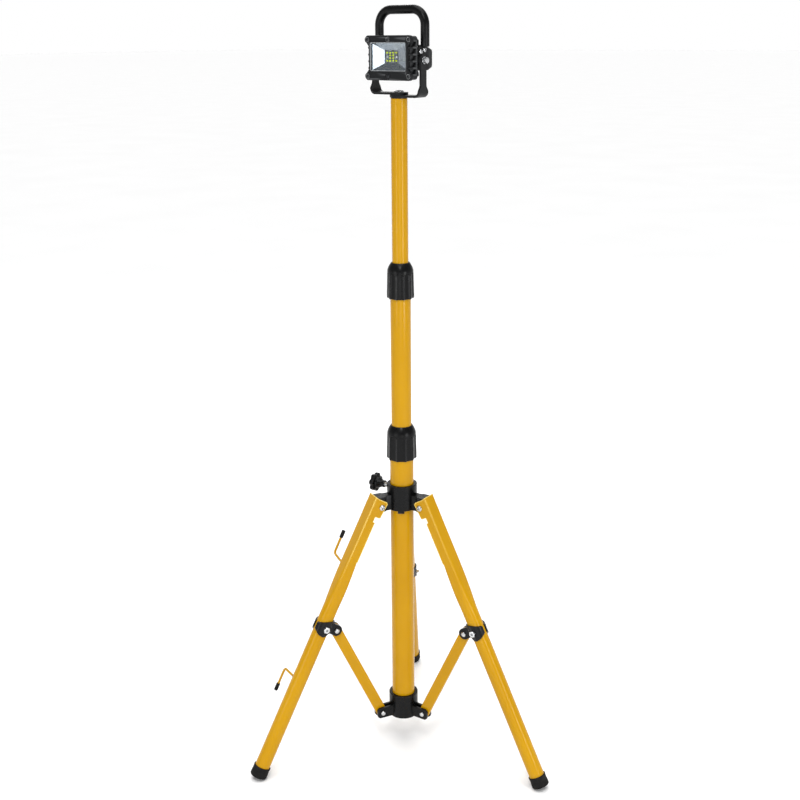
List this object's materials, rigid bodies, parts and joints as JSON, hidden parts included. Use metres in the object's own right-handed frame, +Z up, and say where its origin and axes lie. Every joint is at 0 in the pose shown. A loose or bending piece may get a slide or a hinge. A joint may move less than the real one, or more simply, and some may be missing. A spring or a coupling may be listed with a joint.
{
  "type": "tripod work light",
  "caption": "Folding tripod work light: telescopic mast with twist-lock collars, sliding leg hub, cable hooks and a tilting, swivelling LED flood head with a carry handle.",
  "frame": {"origin": "middle of the outline seen from above, on the floor under the feet", "axes": "+Z up along the mast, -Y the way the lamp faces, +X along the lamp head's tilt axis"},
  "size_m": [0.4424, 0.488, 1.212],
  "materials": {
    "yellow_paint": "semi-gloss yellow powder coat on steel tube",
    "black_plastic": "satin moulded black plastic",
    "black_rubber": "dull black rubber",
    "zinc_steel": "bright zinc plate",
    "black_casting": "black powder coat on die-cast aluminium",
    "black_steel": "black powder coat on steel strip",
    "front_glass": "clear toughened glass",
    "reflector_metal": "bright aluminium reflector",
    "led_board_white": "white solder mask with yellow LED chips",
    "grey_nylon": "grey moulded nylon"
  },
  "bodies": {
    "mast": {"lower_tube": "yellow_paint", "lower_hub": "black_plastic", "collet_lower": "grey_nylon", "hub_rivet_left": "zinc_steel", "hub_rivet_right": "zinc_steel", "hub_rivet_back": "zinc_steel"},
    "slide_hub": {"upper_hub": "black_plastic"},
    "knob": {"clamp_knob": "black_plastic", "clamp_stud": "zinc_steel"},
    "brace_left": {"brace_left": "yellow_paint"},
    "brace_right": {"brace_right": "yellow_paint"},
    "brace_back": {"brace_back": "yellow_paint"},
    "leg_left": {"leg_left": "yellow_paint", "foot_left": "black_rubber", "leg_clamp_left": "black_plastic", "clamp_bolt_left": "zinc_steel", "leg_screw_left": "zinc_steel", "brace_rivet_left": "zinc_steel", "cable_hook_upper": "yellow_paint", "cable_hook_lower": "yellow_paint", "hook_tip_upper": "black_rubber", "hook_tip_lower": "black_rubber"},
    "leg_right": {"leg_right": "yellow_paint", "foot_right": "black_rubber", "leg_clamp_right": "black_plastic", "clamp_bolt_right": "zinc_steel", "leg_screw_right": "zinc_steel", "brace_rivet_right": "zinc_steel"},
    "leg_back": {"leg_back": "yellow_paint", "foot_back": "black_rubber", "leg_clamp_back": "black_plastic", "clamp_bolt_back": "zinc_steel", "leg_screw_back": "zinc_steel", "brace_rivet_back": "zinc_steel"},
    "collar_lower": {"collar_lower": "black_plastic"},
    "middle_mast": {"middle_tube": "yellow_paint", "middle_bush": "grey_nylon", "collet_upper": "grey_nylon"},
    "collar_upper": {"collar_upper": "black_plastic"},
    "top_mast": {"top_tube": "yellow_paint", "top_bush": "grey_nylon", "top_plug": "black_plastic", "mount_bolt": "zinc_steel"},
    "bracket": {"bracket_left": "black_steel", "bracket_right": "black_steel"},
    "head": {"housing": "black_casting", "bezel": "black_casting", "glass": "front_glass", "reflector": "reflector_metal", "led_board": "led_board_white", "driver_box": "black_casting", "cable_gland": "black_plastic", "handle": "black_plastic", "handle_screw_right_front": "zinc_steel", "handle_screw_right_rear": "zinc_steel", "handle_screw_left_front": "zinc_steel", "handle_screw_left_rear": "zinc_steel", "pivot_bolt_right": "zinc_steel", "pivot_bolt_left": "zinc_steel"},
    "button": {"power_button": "black_rubber"}
  },
  "joints": [
    {"name": "brace_left_fold", "type": "hinge", "parent": "mast", "child": "brace_left", "pos_m": [-0.07675, -0.02906, 0.0634], "axis": [-0.8988, 0.4384, 0], "range_deg": [0, 27]},
    {"name": "brace_right_fold", "type": "hinge", "parent": "mast", "child": "brace_right", "pos_m": [-0.01558, 0.0122, 0.0634], "axis": [0.0698, -0.9976, 0], "range_deg": [0, 27]},
    {"name": "brace_back_fold", "type": "hinge", "parent": "mast", "child": "brace_back", "pos_m": [-0.0819, 0.04454, 0.0634], "axis": [0.829, 0.5592, 0], "range_deg": [0, 27]},
    {"name": "leg_left_fold", "type": "hinge", "parent": "brace_left", "child": "leg_left", "pos_m": [-0.1124, -0.10216, 0.23935], "axis": [0.8988, -0.4384, 0], "range_deg": [0, 50.79]},
    {"name": "leg_right_fold", "type": "hinge", "parent": "brace_right", "child": "leg_right", "pos_m": [0.06555, 0.01787, 0.23935], "axis": [-0.0698, 0.9976, 0], "range_deg": [0, 50.79]},
    {"name": "leg_back_fold", "type": "hinge", "parent": "brace_back", "child": "leg_back", "pos_m": [-0.12737, 0.11196, 0.23935], "axis": [-0.829, -0.5592, 0], "range_deg": [0, 50.79]},
    {"name": "hub_slide", "type": "slide", "parent": "mast", "child": "slide_hub", "axis": [0, 0, 1], "range_m": [0, 0.0338]},
    {"name": "knob_turn", "type": "hinge", "parent": "slide_hub", "child": "knob", "pos_m": [-0.10297, 0.00609, 0.46502], "axis": [-0.9976, -0.0698, 0], "range_deg": [0, 450]},
    {"name": "collar_lower_twist", "type": "hinge", "parent": "mast", "child": "collar_lower", "pos_m": [-0.05808, 0.00922, 0.54532], "axis": [0, 0, 1], "range_deg": [0, 90]},
    {"name": "middle_slide", "type": "slide", "parent": "mast", "child": "middle_mast", "axis": [0, 0, 1], "range_m": [-0.2, 0.19]},
    {"name": "collar_upper_twist", "type": "hinge", "parent": "middle_mast", "child": "collar_upper", "pos_m": [-0.05808, 0.00922, 0.80852], "axis": [0, 0, 1], "range_deg": [0, 90]},
    {"name": "top_slide", "type": "slide", "parent": "middle_mast", "child": "top_mast", "axis": [0, 0, 1], "range_m": [-0.24, 0.17]},
    {"name": "head_pan", "type": "hinge", "parent": "top_mast", "child": "bracket", "pos_m": [-0.05808, 0.00922, 1.08242], "axis": [0, 0, 1], "continuous": true},
    {"name": "head_tilt", "type": "hinge", "parent": "bracket", "child": "head", "pos_m": [-0.05808, 0.00922, 1.13492], "axis": [1, 0, 0], "range_deg": [-90, 90]},
    {"name": "button_press", "type": "slide", "parent": "head", "child": "button", "axis": [0, -1, 0], "range_m": [0, 0.0015], "stiffness_N_per_m": 800, "springref_m": -0.001}
  ],
  "couplings": [
    {"joint": "brace_right_fold", "follows": "brace_left_fold", "ratio": 1},
    {"joint": "brace_back_fold", "follows": "brace_left_fold", "ratio": 1},
    {"joint": "leg_left_fold", "follows": "brace_left_fold", "ratio": 1.879},
    {"joint": "leg_right_fold", "follows": "brace_left_fold", "ratio": 1.879},
    {"joint": "leg_back_fold", "follows": "brace_left_fold", "ratio": 1.879},
    {"joint": "hub_slide", "follows": "brace_left_fold", "m_per_rad": 0.07115}
  ]
}
